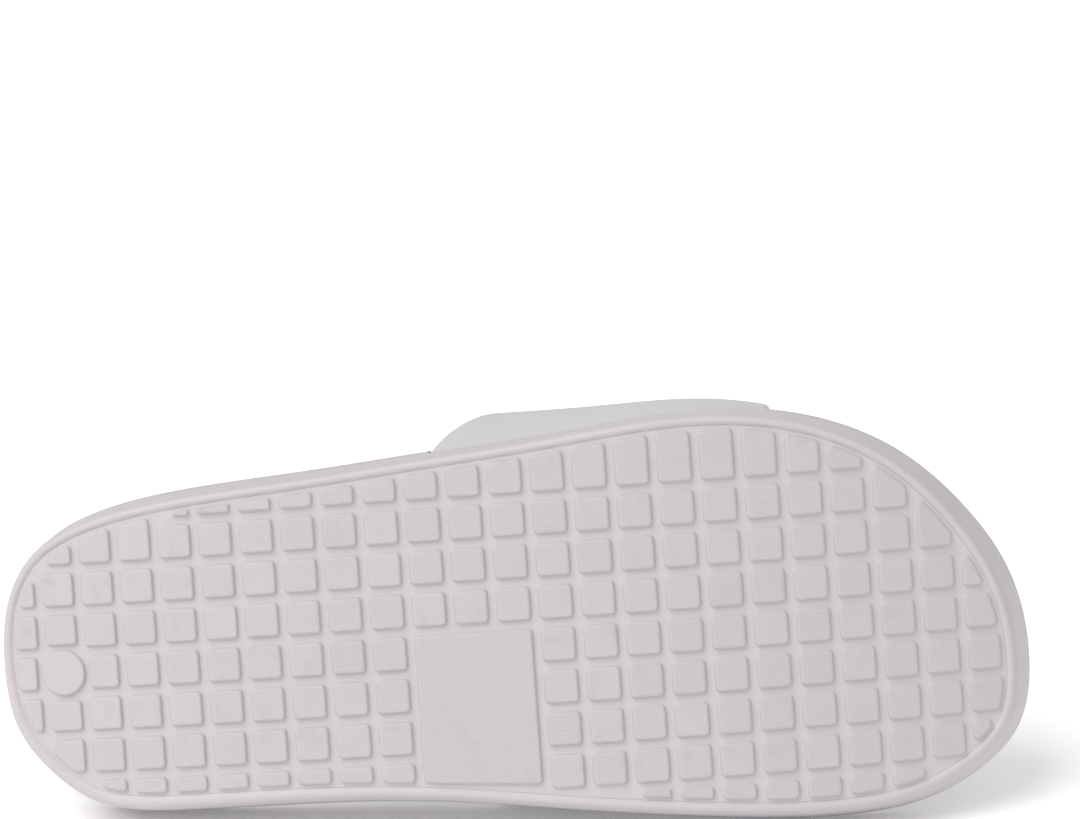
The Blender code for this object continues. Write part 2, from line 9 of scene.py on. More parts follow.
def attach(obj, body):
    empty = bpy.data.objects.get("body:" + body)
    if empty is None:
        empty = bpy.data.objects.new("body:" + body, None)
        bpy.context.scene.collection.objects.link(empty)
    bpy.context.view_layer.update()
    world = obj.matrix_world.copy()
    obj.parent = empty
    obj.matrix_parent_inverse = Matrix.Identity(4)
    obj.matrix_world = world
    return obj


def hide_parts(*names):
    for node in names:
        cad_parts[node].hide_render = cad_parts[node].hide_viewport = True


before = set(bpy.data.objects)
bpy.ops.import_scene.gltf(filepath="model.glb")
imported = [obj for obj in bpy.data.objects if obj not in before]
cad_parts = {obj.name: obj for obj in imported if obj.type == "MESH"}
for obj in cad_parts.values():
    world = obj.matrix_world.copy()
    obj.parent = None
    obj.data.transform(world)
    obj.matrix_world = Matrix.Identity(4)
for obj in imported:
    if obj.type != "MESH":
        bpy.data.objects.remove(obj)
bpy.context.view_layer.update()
print("frame loaded:", ", ".join(sorted(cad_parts)))

# How the standing shoe is turned and moved to lie on strap and sole edge
lying = Matrix((
    (0.9952625036, 0.0748155788, -0.0620901436, -0.1411243379),
    (0.0748155788, -0.1815030575, 0.9805403352, -0.0516453609),
    (0.0620901436, -0.9805403352, -0.1862405539, 0.0469657406),
    (0.0, 0.0, 0.0, 1.0),
))

sole = {
    "length": 0.287, "ballWidth": 0.114, "gap": 0.0003,
    "heelLift": 0.011, "heelRoll": 0.096, "toeSpring": 0.024, "toeRoll": 0.130,
    "wall": 0.026, "flare": 0.0048, "flareBlend": 0.25,
    "rimWidth": 0.0020, "rimRound": 0.0012, "rimDraft": 0.0005, "rimDepth": 0.0006,
    "heelRim": 0.45, "heelRimEnd": 0.150,
    "bulge": 1.25, "edgeBreak": 0.0004,
    "points": 480, "coarsePoints": 240,
    # along as a share of the length, lateral and medial half widths as shares of the ball width
    "outline": (
        (0.012, 0.184, 0.171), (0.042, 0.289, 0.276), (0.091, 0.353, 0.365),
        (0.174, 0.396, 0.396), (0.307, 0.424, 0.397), (0.432, 0.452, 0.412),
        (0.557, 0.481, 0.448), (0.662, 0.507, 0.477), (0.746, 0.503, 0.496),
        (0.826, 0.456, 0.500), (0.892, 0.365, 0.476), (0.944, 0.235, 0.417),
        (0.983, 0.079, 0.327),
    ),
    "heelTip": -0.004, "toeTip": 0.150,
    # along, wall height, lateral flare, medial flare, footbed rim
    "side": (
        (0.00, 0.80, 0.60, 0.60, 1.20), (0.25, 1.00, 0.40, 1.00, 1.15),
        (0.50, 0.90, 0.35, 1.00, 1.00), (0.75, 0.72, 0.40, 0.95, 0.80),
        (1.00, 0.50, 1.05, 1.05, 0.85),
    ),
}


def splineSlopes(knots, points, closed):
    n = len(points)
    system = np.zeros((n, n))
    right = np.zeros(points.shape)
    step = np.diff(knots)
    for i in range(n):
        if closed or 0 < i < n - 1:
            before, after = step[i - 1], step[i % len(step)]
            system[i, i - 1] += after
            system[i, i] += 2 * (before + after)
            system[i, (i + 1) % n] += before
            riseBefore = (points[i] - points[i - 1]) / before
            riseAfter = (points[(i + 1) % n] - points[i]) / after
            right[i] = 3 * (after * riseBefore + before * riseAfter)
        else:
            j = 1 if i == 0 else n - 2
            system[i, i], system[i, j] = 2, 1
            right[i] = 3 * (points[max(i, j)] - points[min(i, j)]) / step[min(i, j)]
    return np.linalg.solve(system, right)


def cubic(knots, values, slopes, at):
    piece = np.clip(np.searchsorted(knots, at, side="right") - 1, 0, len(knots) - 2)
    width = (knots[piece + 1] - knots[piece])[:, None]
    t = (at - knots[piece])[:, None] / width
    curve = values[piece] * (2 * t ** 3 - 3 * t ** 2 + 1)
    curve += values[piece + 1] * (3 * t ** 2 - 2 * t ** 3)
    curve += width * slopes[piece] * (t ** 3 - 2 * t ** 2 + t)
    return curve + width * slopes[piece + 1] * (t ** 3 - t ** 2)


def splinePoints(points, count, closed):
    points = np.array(points, float)
    ring = np.vstack([points, points[:1]]) if closed else points
    knots = np.concatenate([[0], np.cumsum(np.linalg.norm(np.diff(ring, axis=0), axis=1))])
    slopes = splineSlopes(knots, points, closed)
    slopes = np.vstack([slopes, slopes[:1]]) if closed else slopes
    curve = cubic(knots, ring, slopes, np.linspace(0, knots[-1], 60 * len(ring)))
    length = np.concatenate([[0], np.cumsum(np.linalg.norm(np.diff(curve, axis=0), axis=1))])
    targets = np.linspace(0, length[-1], count + 1 if closed else count)[:count]
    return np.stack([np.interp(targets, length, curve[:, k]) for k in range(curve.shape[1])], axis=1)


sideTable = np.array(sole["side"], float)
sideSlopes = splineSlopes(sideTable[:, 0], sideTable, closed=False)


def sideValue(columnIndex, x):
    share = np.clip(np.atleast_1d(np.asarray(x, float)) / sole["length"], 0, 1)
    values = cubic(sideTable[:, 0], sideTable, sideSlopes, share)[:, columnIndex]
    return values if np.ndim(x) else float(values[0])


def smooth(t):
    t = np.clip(t, 0, 1)
    return t * t * (3 - 2 * t)


def groundHeight(x):
    heel = np.clip(1 - x / sole["heelRoll"], 0, None)
    toe = np.clip((x - sole["length"]) / sole["toeRoll"] + 1, 0, None)
    return sole["heelLift"] * heel ** 2 + sole["toeSpring"] * toe ** 2


def partingHeight(x):
    return groundHeight(x) + sole["wall"] * sideValue(1, x)


def soleOutline(count):
    table = np.array(sole["outline"]) * (sole["length"], sole["ballWidth"], sole["ballWidth"])
    points = [(0, sole["heelTip"] * sole["ballWidth"])]
    points += [(x, -lateral) for x, lateral, _ in table]
    points.append((sole["length"], sole["toeTip"] * sole["ballWidth"]))
    points += [(x, medial) for x, _, medial in table[::-1]]
    return splinePoints(points, count, closed=True)


def inset(loop, distance):
    tangent = np.roll(loop, -1, axis=0) - np.roll(loop, 1, axis=0)
    tangent /= np.linalg.norm(tangent, axis=1)[:, None]
    inward = np.stack([-tangent[:, 1], tangent[:, 0]], axis=1)
    return loop + inward * np.broadcast_to(distance, len(loop))[:, None]


def medialShare(loop):
    # 0 on the lateral side, 1 on the medial side, with a soft change between them
    return smooth(0.5 + loop[:, 1] / (2 * sole["flareBlend"] * sole["ballWidth"]))


def flare(loop):
    lateral, medial = sideValue(2, loop[:, 0]), sideValue(3, loop[:, 0])
    return sole["flare"] * (lateral + (medial - lateral) * medialShare(loop))


def rimShare(loop):
    # The rim grows wider round the heel on the medial side.
    return 1 + sole["heelRim"] * medialShare(loop) * smooth(1 - loop[:, 0] / sole["heelRimEnd"])


def plateEdge(loop):
    rim = rimShare(loop) * (sole["rimWidth"] + sole["rimDraft"])
    return inset(loop, flare(loop) + rim + sole["gap"])


sharpAngle = math.radians(50)


class Skin:
    # Gathers vertices and faces of one piece in the shoe's frame.
    def __init__(self):
        self.points, self.faces, self.marks = [], [], []

    def loop(self, flat, height, mark=(0, 0)):
        start = len(self.points)
        height = np.broadcast_to(height, len(flat))
        self.points += [(p[0], p[1], z) for p, z in zip(flat, height)]
        self.marks += [mark] * len(flat)
        return list(range(start, len(self.points)))

    def strip(self, first, second, closed=True):
        n = len(first)
        for i in range(n if closed else n - 1):
            j = (i + 1) % n
            self.faces.append((first[i], first[j], second[j], second[i]))

    def strips(self, loops, closed=True):
        for first, second in zip(loops, loops[1:]):
            self.strip(first, second, closed)

    def web(self, edge, holes, fill):
        # Triangles inside the edge loop and outside the hole loops, through loose fill points.
        index = list(edge)
        lines = [(i, (i + 1) % len(edge)) for i in range(len(edge))]
        owner = [-1] * len(edge)
        for number, hole in enumerate(holes):
            start = len(index)
            index += hole
            owner += [number] * len(hole)
            lines += [(start + i, start + (i + 1) % len(hole)) for i in range(len(hole))]
        for x, y, z in fill:
            index.append(len(self.points))
            owner.append(-1)
            self.points.append((x, y, z))
            self.marks.append((0, 0))
        flat = [Vector(self.points[i][:2]) for i in index]
        _, _, faces, origins, _, _ = delaunay_2d_cdt(flat, lines, [], 1, 1e-7)
        for face in faces:
            own = {owner[origins[i][0]] for i in face}
            if len(own) > 1 or -1 in own:
                self.faces.append(tuple(index[origins[i][0]] for i in face))

    def solid(self, name):
        # A mesh object in its lying place, with all faces turned outward
        data = bpy.data.meshes.new(name)
        data.from_pydata([tuple(lying @ Vector(p)) for p in self.points], [], self.faces)
        data.validate()
        made = bpy.data.objects.new(name, data)
        bpy.context.scene.collection.objects.link(made)
        bpy.context.view_layer.objects.active = made
        made.select_set(True)
        bpy.ops.object.mode_set(mode="EDIT")
        bpy.ops.mesh.select_all(action="SELECT")
        bpy.ops.mesh.normals_make_consistent(inside=False)
        bpy.ops.object.mode_set(mode="OBJECT")
        made.select_set(False)
        return made

    def piece(self, name, node, slot, material, marks=()):
        made = self.solid(name)
        data = made.data
        for mark, values in zip(marks, np.array(self.marks, np.float32).T):
            attribute = data.attributes.new(mark, "FLOAT", "POINT")
            attribute.data.foreach_set("value", np.ascontiguousarray(values))
        data.shade_smooth()
        data.set_sharp_from_angle(angle=sharpAngle)
        data.materials.append(material)
        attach(made, "root")
        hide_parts(node)
        print("made", name, "with", len(data.polygons), "faces")
        return made


def inside(loop, x, y):
    following = np.roll(loop, -1, axis=0)
    crosses = (loop[:, 1] > y) != (following[:, 1] > y)
    rise = np.where(crosses, following[:, 1] - loop[:, 1], 1)
    at = loop[:, 0] + (y - loop[:, 1]) * (following[:, 0] - loop[:, 0]) / rise
    return bool(np.sum(crosses & (at > x)) % 2)


def edgeDistance(loop, x, y):
    return float(np.min(np.hypot(loop[:, 0] - x, loop[:, 1] - y)))


def fillPoints(edge, height, spacing, keepOff):
    points = []
    low, high = edge.min(axis=0), edge.max(axis=0)
    for j in range(int((high[1] - low[1]) / spacing) + 1):
        for i in range(int((high[0] - low[0]) / spacing) + 1):
            x = low[0] + (i + 0.5 * (j % 2)) * spacing
            y = low[1] + (j + 0.5) * spacing
            if inside(edge, x, y) and edgeDistance(edge, x, y) > keepOff:
                points.append((x, y, float(height(x, y))))
    return points


# Materials
def toLinear(hexColour):
    shares = [int(hexColour[i:i + 2], 16) / 255 for i in (1, 3, 5)]
    return (*[s / 12.92 if s <= 0.04045 else ((s + 0.055) / 1.055) ** 2.4 for s in shares], 1)


def addNode(tree, kind, settings=None, links=None):
    node = tree.nodes.new(kind)
    for name, value in (settings or {}).items():
        if isinstance(name, int) or name in node.inputs:
            node.inputs[name].default_value = value
        else:
            setattr(node, name, value)
    for name, source in (links or {}).items():
        tree.links.new(source, node.inputs[name])
    return node


def newMaterial(name):
    material = bpy.data.materials.new(name)
    material.use_nodes = True
    tree = material.node_tree
    tree.nodes.clear()
    return material, tree


def shoePlace(tree):
    # Object coordinates turned back to the shoe's own axes.
    place = addNode(tree, "ShaderNodeTexCoord")
    turn = lying.to_3x3().inverted().to_euler()
    return addNode(tree, "ShaderNodeMapping", {"Rotation": turn}, {"Vector": place.outputs["Object"]})


def noise(tree, place, size, detail, rough=0.5):
    # Size in metres is the width of one soft blotch.
    return addNode(
        tree, "ShaderNodeTexNoise",
        {"Scale": 1 / size, "Detail": detail, "Roughness": rough}, {"Vector": place.outputs[0]})


def mixColour(tree, share, first, second):
    # First and second are either a hex colour or a node's output.
    mix = addNode(tree, "ShaderNodeMix", {"data_type": "RGBA"}, {0: share})
    for number, colour in ((6, first), (7, second)):
        if isinstance(colour, str):
            mix.inputs[number].default_value = toLinear(colour)
        else:
            tree.links.new(colour, mix.inputs[number])
    return mix.outputs[2]


def spread(tree, value, low, high, toLow=0.0, toHigh=1.0):
    settings = {"From Min": low, "From Max": high, "To Min": toLow, "To Max": toHigh}
    return addNode(tree, "ShaderNodeMapRange", settings, {"Value": value}).outputs[0]


def scaled(tree, value, factor, added=None):
    settings = {"operation": "MULTIPLY_ADD" if added else "MULTIPLY", 1: factor}
    links = {0: value, 2: added} if added else {0: value}
    return addNode(tree, "ShaderNodeMath", settings, links).outputs[0]


def product(tree, first, second):
    links = {0: first, 1: second}
    return addNode(tree, "ShaderNodeMath", {"operation": "MULTIPLY"}, links).outputs[0]


def finishFoam(tree, colour, height, relief, roughness, mottle):
    bump = addNode(tree, "ShaderNodeBump", {"Strength": 1.0, "Distance": relief}, {"Height": height})
    rough = spread(tree, mottle, 0.3, 0.7, roughness - 0.05, roughness + 0.05)
    shader = addNode(
        tree, "ShaderNodeBsdfPrincipled", {"IOR": 1.45, "Metallic": 0},
        {"Base Color": colour, "Roughness": rough, "Normal": bump.outputs[0]})
    addNode(tree, "ShaderNodeOutputMaterial", None, {"Surface": shader.outputs[0]})


def mouldedFoam(name, base, warm, cool, roughness, grainSize, relief):
    # Compression-moulded EVA foam, and the strap's coated skin in cooler shades: matt and pale,
    # in soft warm and cool clouds, with the mould's fine skin.
    material, tree = newMaterial(name)
    place = shoePlace(tree)
    cloud = noise(tree, place, 0.022, 3).outputs["Fac"]
    speck = noise(tree, place, 0.0022, 4, 0.6).outputs["Fac"]
    grain = noise(tree, place, grainSize, 3, 0.6).outputs["Fac"]
    clouded = mixColour(tree, spread(tree, cloud, 0.38, 0.62), warm, cool)
    colour = mixColour(tree, spread(tree, speck, 0.3, 0.7), clouded, base)
    finishFoam(tree, colour, scaled(tree, grain, 0.35, speck), relief, roughness, speck)
    return material


def treadFoam(name, face, cool, worn, paintedGrooveLight):
    # Moulded tread foam: lug faces a shade darker than the grooves, whose floors and the lugs' sides
    # are painted lighter, painted light that lifts the shade in the grooves; a little warmer at the
    # heel, with a few blotches, and fine wavy ripples of the cut mould on some of the lugs.
    material, tree = newMaterial(name)
    place = shoePlace(tree)
    depth = addNode(tree, "ShaderNodeAttribute", {"attribute_name": "grooveDepth"}).outputs["Fac"]
    tone = addNode(tree, "ShaderNodeAttribute", {"attribute_name": "lugTone"}).outputs["Fac"]
    cloud = noise(tree, place, 0.030, 3).outputs["Fac"]
    along = addNode(tree, "ShaderNodeSeparateXYZ", None, {"Vector": place.outputs[0]}).outputs[0]
    drift = scaled(tree, along, 2.2, cloud)
    blotch = noise(tree, place, 0.0060, 3, 0.6).outputs["Fac"]
    speck = noise(tree, place, 0.0016, 4, 0.6).outputs["Fac"]
    colour = mixColour(tree, spread(tree, drift, 0.25, 0.75), face, cool)
    colour = mixColour(tree, spread(tree, blotch, 0.56, 0.74, 0.0, 0.8), colour, worn)
    colour = mixColour(tree, spread(tree, tone, 0.0, 1.0, 0.0, 0.35), colour, worn)
    # painted light: groove floors and lug sides lighter than the faces, lifting the shade in the
    # grooves
    colour = mixColour(tree, spread(tree, depth, 0.10, 0.70), colour, paintedGrooveLight)
    turn = addNode(
        tree, "ShaderNodeMapping", {"Rotation": (0, 0, math.radians(4))},
        {"Vector": place.outputs[0]})
    # Scale 250 puts the ripples some 1.3 mm apart, a little coarser than real ones, to show.
    ripple = addNode(
        tree, "ShaderNodeTexWave",
        {"bands_direction": "Y", "Scale": 250.0, "Distortion": 4.5, "Detail": 2.0, "Detail Scale": 0.9},
        {"Vector": turn.outputs[0]}).outputs["Fac"]
    rippled = product(tree, spread(tree, tone, 0.85, 0.95), spread(tree, depth, 0.02, 0.0))
    height = scaled(tree, product(tree, ripple, rippled), 0.55, scaled(tree, speck, 0.4))
    finishFoam(tree, colour, height, 0.00010, 0.56, speck)
    return material


# Tread plate
tread = {
    "lugHeight": 0.0012, "pitch": 0.0115, "face": 0.0088, "draft": 0.00045,
    "borderGroove": 0.00038, "thinnest": 0.0007, "shortest": 0.0060, "thickness": 0.0038,
    "start": 0.0321, "centre": 0.0022,
    "disc": 0.0066, "discGroove": 0.0008, "discPoints": 64, "discSpread": 0.7,
    "corner": 0.0011,  # corner radius of a lug a third of the way down its side
    "thinCorner": 0.30,  # and its most as a share of a thin lug's width
    # a thin lug's radius shrinks by this step until the core between its corners is wide enough
    "leastCorner": 0.0001, "leastCore": 0.00005, "cornerStep": 0.8,
    "arcStep": math.radians(22),
    "stretch": 0.0042,  # how far a lateral lug may reach on towards the seam
    "columns": (-3, 24), "rows": (10, -10),  # the grid's first and last
    "panelColumns": (8, 10), "panelRows": (0, 3), "discCell": (-1, 0),
    "ballColumn": 12, "ballRow": -4,
    # ripples: where most of them are, the share of rippled lugs there and elsewhere
    "rippleCentre": (0.192, 0.014), "rippleReach": 0.036, "rippledShare": (0.55, 0.05),
    "plainTone": 0.75, "seed": 4,
    # the plate's edge beyond the lugs: inward, down from the groove's floor
    "edge": ((0.00025, 0), (0.00004, 0.00001), (-0.00026, 0.00005)),
    "backSpacing": 0.012,
    # a lug's side from its flat face down to the groove: out from the face's edge, down, in mm
    "profile": (
        (-1.05, 0.00), (-0.70, 0.00), (-0.42, 0.03), (-0.22, 0.10), (-0.05, 0.24),
        (0.07, 0.46), (0.17, 0.74), (0.27, 0.97), (0.38, 1.13), (0.52, 1.20),
    ),
}


def clip(polygon, point, normal):
    kept = []
    for a, b in zip(polygon, polygon[1:] + polygon[:1]):
        da = (a[0] - point[0]) * normal[0] + (a[1] - point[1]) * normal[1]
        db = (b[0] - point[0]) * normal[0] + (b[1] - point[1]) * normal[1]
        if da >= 0:
            kept.append(a)
        if da * db < 0:
            t = da / (da - db)
            kept.append((a[0] + (b[0] - a[0]) * t, a[1] + (b[1] - a[1]) * t))
    return kept


def shrunk(polygon, distance):
    core = polygon
    for a, b in zip(polygon, polygon[1:] + polygon[:1]):
        edge = Vector(b) - Vector(a)
        if edge.length > 1e-9 and core:
            normal = Vector((-edge.y, edge.x)).normalized()
            core = clip(core, Vector(a) + normal * distance, normal)
    tidy = []
    for point in core:
        if not tidy or (Vector(point) - Vector(tidy[-1])).length > 2e-5:
            tidy.append(point)
    if len(tidy) > 1 and (Vector(tidy[0]) - Vector(tidy[-1])).length < 2e-5:
        tidy.pop()
    return tidy


def corners(core):
    # Each corner with the outward directions of its round.
    found = []
    n = len(core)
    for i in range(n):
        here = Vector(core[i])
        before, after = here - Vector(core[i - 1]), Vector(core[(i + 1) % n]) - here
        start = math.atan2(-before.x, before.y)
        end = math.atan2(-after.x, after.y)
        turn = (end - start) % (2 * math.pi)
        turn = turn if turn < math.pi else 0.0
        steps = max(1, round(turn / tread["arcStep"]))
        angles = [start + turn * k / steps for k in range(steps + 1)]
        found.append((here, angles))
    return found


def roundRing(cornerList, distance):
    ring = []
    for here, angles in cornerList:
        for a in angles:
            ring.append((here.x + distance * math.cos(a), here.y + distance * math.sin(a)))
    return np.array(ring)


def heldClear(low, high, border, normals, disc):
    # A block's rectangle, clipped to stay inside the border and clear of the heel disc.
    block = [(low[0], low[1]), (high[0], low[1]), (high[0], high[1]), (low[0], high[1])]
    centre = Vector(((low[0] + high[0]) / 2, (low[1] + high[1]) / 2))
    reach = (Vector(high) - Vector(low)).length / 2 + tread["pitch"] / 2
    if not inside(border, *centre) and edgeDistance(border, *centre) > reach:
        return []
    for point, normal in zip(border, normals):
        if (Vector(point) - centre).length < reach and block:
            block = clip(block, point + normal * tread["draft"], normal)
    away = centre - disc
    if 0 < away.length < tread["disc"] + tread["discGroove"] + reach and block:
        away.normalize()
        clear = tread["disc"] + tread["discGroove"] + tread["draft"]
        block = clip(block, disc + away * clear, away)
    block = shrunk(block, 0.0) if len(block) > 2 else []
    if len(block) < 3:
        return []
    offsets = np.array(block) - np.mean(block, axis=0)
    width = np.ptp(offsets @ np.linalg.svd(offsets)[2].T, axis=0)
    fits = width.min() > tread["thinnest"] and width.max() > tread["shortest"]
    return block if fits else []


def cellCentre(i, j):
    return tread["start"] + tread["pitch"] * i, tread["centre"] + tread["pitch"] * j


def treadBlocks(border):
    tangent = np.roll(border, -1, axis=0) - np.roll(border, 1, axis=0)
    tangent /= np.linalg.norm(tangent, axis=1)[:, None]
    normals = np.stack([-tangent[:, 1], tangent[:, 0]], axis=1)
    disc = Vector(cellCentre(*tread["discCell"]))
    half = tread["face"] / 2
    firstColumn, lastColumn = tread["panelColumns"]
    firstRow, lastRow = tread["panelRows"]
    found = {}
    for i in range(tread["columns"][0], tread["columns"][1] + 1):
        for j in range(tread["rows"][0], tread["rows"][1] - 1, -1):
            if firstColumn <= i <= lastColumn and j >= firstRow or (i, j) == tread["discCell"]:
                continue
            x, y = cellCentre(i, j)
            block = heldClear((x - half, y - half), (x + half, y + half), border, normals, disc)
            if i >= tread["ballColumn"] and j < tread["ballRow"]:
                block = []
            if block:
                found[i, j] = block
            elif j < 0 and (i, j + 1) in found:
                y += tread["pitch"]
                low = (x - half, y - half - tread["stretch"])
                found[i, j + 1] = heldClear(low, (x + half, y + half), border, normals, disc)
    x0, y0 = cellCentre(firstColumn, firstRow)
    x1, y1 = cellCentre(lastColumn, lastRow)
    low, high = (x0 - half, y0 - half), (x1 + half, y1 + half)
    found["panel"] = heldClear(low, high, border, normals, disc)
    return list(found.values()), disc


def raisedLug(skin, ringAt, tone):
    # Rings down the lug's side, closed by its flat face; gives back the ring at its foot.
    deepest = tread["profile"][-1][1]
    rings = []
    for out, down in tread["profile"]:
        flat = ringAt(out)
        height = groundHeight(flat[:, 0]) + down / 1000
        rings.append(skin.loop(flat, height, (down / deepest, tone)))
    skin.strips(rings)
    skin.faces.append(tuple(rings[0]))
    return rings[-1]


def makeTread(outline, coarse, material):
    skin = Skin()
    faces, disc = treadBlocks(inset(plateEdge(coarse), tread["borderGroove"]))
    feet = []
    randomTone = np.random.default_rng(tread["seed"])
    for block in faces:
        radius = min(tread["corner"], tread["thinCorner"] * np.ptp(np.array(block), axis=0).min())
        core = shrunk(block, radius)
        while len(core) < 3 or np.ptp(np.array(core), axis=0).min() < tread["leastCore"]:
            radius *= tread["cornerStep"]
            core = shrunk(block, radius)
            if radius < tread["leastCorner"]:
                break
        if len(core) < 3:
            continue
        places = corners(core)
        near = (Vector(block[0]) - Vector(tread["rippleCentre"])).length < tread["rippleReach"]
        rippled = randomTone.random() < tread["rippledShare"][0 if near else 1]
        tone = 1.0 if rippled else tread["plainTone"] * float(randomTone.random())

        def lugRing(out):
            share = radius / tread["corner"] if out < 0 else 1
            return roundRing(places, radius + out / 1000 * share)

        feet.append(raisedLug(skin, lugRing, tone))
    turn = np.linspace(0, 2 * math.pi, tread["discPoints"], endpoint=False)
    circle = np.stack([np.cos(turn), np.sin(turn)], axis=1)

    def discRing(out):
        reach = out / 1000 * (tread["discSpread"] if out > 0 else 1)
        return np.array(disc) + circle * (tread["disc"] - tread["draft"] + reach)

    feet.append(raisedLug(skin, discRing, 0))

    edge = plateEdge(outline)
    field = groundHeight(edge[:, 0]) + tread["lugHeight"]
    loops = [skin.loop(inset(edge, inward), field + down, (1, 0)) for inward, down in tread["edge"]]
    loops.append(skin.loop(edge, field + tread["thickness"], (1, 0)))
    skin.web(loops[0], feet, [])
    skin.strips(loops)
    back = tread["lugHeight"] + tread["thickness"]
    skin.web(loops[-1], [], fillPoints(
        edge, lambda x, y: groundHeight(x) + back, tread["backSpacing"], tread["backSpacing"] / 2))
    return skin.piece("treadPlate", "outsole", "tread_foam", material, ("grooveDepth", "lugTone"))


# Midsole
midsole = {
    "rimPoints": 6, "wallPoints": 12, "seatStep": 0.00003,
    # the wall's upper edge, rounded: inward, down from the parting line
    "edge": ((0, 0.0004), (0.00012, 0.00012), (0.0004, 0)),
    "spacing": 0.012, "topSpacing": 0.010,
    # the rim's inner side: outward from the seat, and down as a share of the rim's depth
    "fillet": ((0.00024, 0.80), (0.00050, 0.45), (0.00076, 0.20), (0.00100, 0.06), (0.00122, 0.00)),
}


def rimLevel(loop):
    return groundHeight(loop[:, 0]) + tread["lugHeight"] - sole["rimDepth"]


def makeMidsole(outline, material):
    skin = Skin()
    x = outline[:, 0]
    foot = flare(outline)
    seat = inset(plateEdge(outline), -sole["gap"])
    base = rimLevel(inset(outline, foot))
    wall = partingHeight(x) - base
    seatX = seat[:, 0]
    back = tread["lugHeight"] + tread["thickness"] + sole["gap"]
    loops = [
        skin.loop(seat, groundHeight(seatX) + back),
        skin.loop(seat, groundHeight(seatX) + tread["lugHeight"] + midsole["seatStep"]),
    ]
    share = rimShare(outline)
    for out, down in midsole["fillet"]:
        ring = inset(seat, -out * share)
        loops.append(skin.loop(ring, rimLevel(ring) + down * sole["rimDepth"]))
    curve = sole["rimRound"] * share
    for k in range(midsole["rimPoints"] + 1):
        a = 0.5 * math.pi * k / midsole["rimPoints"]
        ring = inset(outline, foot + curve * (1 - math.sin(a)))
        loops.append(skin.loop(ring, rimLevel(ring) + curve * (1 - math.cos(a))))
    start = curve / wall
    for k in range(1, midsole["wallPoints"] + 1):
        up = np.minimum(start + (1 - start) * k / midsole["wallPoints"], 1)
        lean = sole["edgeBreak"] + (foot - sole["edgeBreak"]) * (1 - up) ** sole["bulge"]
        steps = midsole["edge"] if k == midsole["wallPoints"] else [(0, 0)]
        for inward, down in steps:
            loops.append(skin.loop(inset(outline, lean + inward), base + wall * up - down))
    skin.strips(loops)
    spacing, topSpacing = midsole["spacing"], midsole["topSpacing"]
    skin.web(loops[0], [], fillPoints(
        seat, lambda px, py: groundHeight(px) + back, spacing, spacing / 2))
    skin.web(loops[-1], [], fillPoints(
        outline, lambda px, py: partingHeight(px), topSpacing, topSpacing / 2))
    return skin.piece("midsoleBody", "midsole", "moulded_foam", material)


# Strap: one wall between midsole and footbed
strap = {
    "thickness": 0.0026, "tab": 0.0100, "pastEdge": 0.0030,
    "rearLateral": 0.1240, "rearMedial": 0.1300, "frontLateral": 0.2188, "frontMedial": 0.2230,
    "rearHeight": 0.064, "frontHeight": 0.046, "rearLean": 0.030, "frontLean": 0.006,
    "lateralSwell": (0.0089, 0.0006), "medialTuck": (0.0004, 0.0040),
    "rows": 44, "archPoints": 150, "edgePoints": 5, "edgeTrim": 0.9,
    # across, swell or tuck, up, rear lean, front lean
    "arch": (
        (0.000, 0.00, 0.000, 0.00, 0.00), (0.000, 0.36, 0.110, 0.08, 0.10),
        (0.000, 1.00, 0.480, 0.60, 0.10), (0.190, 0.40, 0.870, 0.91, 0.40),
        (0.520, 0.00, 1.000, 1.00, 1.00), (0.860, 0.50, 0.850, 0.90, 0.60),
        (1.000, 1.00, 0.450, 0.55, 0.20), (1.000, 0.30, 0.110, 0.12, 0.00),
        (1.000, 0.00, 0.000, 0.00, 0.00),
    ),
}


def edgeAcross(loop, x, medial):
    half = loop[loop[:, 1] > 0] if medial else loop[loop[:, 1] <= 0]
    half = half[half[:, 0] < sole["length"] - sole["rimWidth"]]
    order = np.argsort(half[:, 0])
    return float(np.interp(x, half[order, 0], half[order, 1]))


def archSection(outline, u):
    lateralX = strap["rearLateral"] + (strap["frontLateral"] - strap["rearLateral"]) * u
    medialX = strap["rearMedial"] + (strap["frontMedial"] - strap["rearMedial"]) * u
    fromEdge = sole["edgeBreak"] + strap["thickness"] / 2
    lateralY = edgeAcross(outline, lateralX, False) + fromEdge
    medialY = edgeAcross(outline, medialX, True) - fromEdge
    height = strap["rearHeight"] + (strap["frontHeight"] - strap["rearHeight"]) * u
    lateralSwell = strap["lateralSwell"][0] + (strap["lateralSwell"][1] - strap["lateralSwell"][0]) * u
    medialTuck = strap["medialTuck"][0] + (strap["medialTuck"][1] - strap["medialTuck"][0]) * u
    across, swell, up, rear, front = np.array(strap["arch"]).T
    shift = -np.where(across > 0.5, medialTuck, lateralSwell) * swell
    lean = strap["rearLean"] * rear * (1 - u) + strap["frontLean"] * front * u
    base = partingHeight(lateralX) * (1 - across) + partingHeight(medialX) * across
    x = lateralX + (medialX - lateralX) * across + lean
    y = lateralY + (medialY - lateralY) * across + shift
    z = base + sole["gap"] + strap["thickness"] / 2 + height * up
    return np.stack([x, y, z], axis=1)


def tabPoint(foot, inward):
    return (foot[0], foot[1] + inward, partingHeight(foot[0]) + sole["gap"] + strap["thickness"] / 2)


def wallNormals(section):
    flat = section[:, 1:]
    direction = np.diff(flat, axis=0)
    direction /= np.linalg.norm(direction, axis=1)[:, None]
    normal = np.stack([-direction[:, 1], direction[:, 0]], axis=1)
    before = np.vstack([normal[:1], normal])
    after = np.vstack([normal, normal[-1:]])
    mitre = before + after
    mitre /= np.sum(mitre * before, axis=1)[:, None]
    return np.hstack([np.zeros((len(mitre), 1)), mitre])


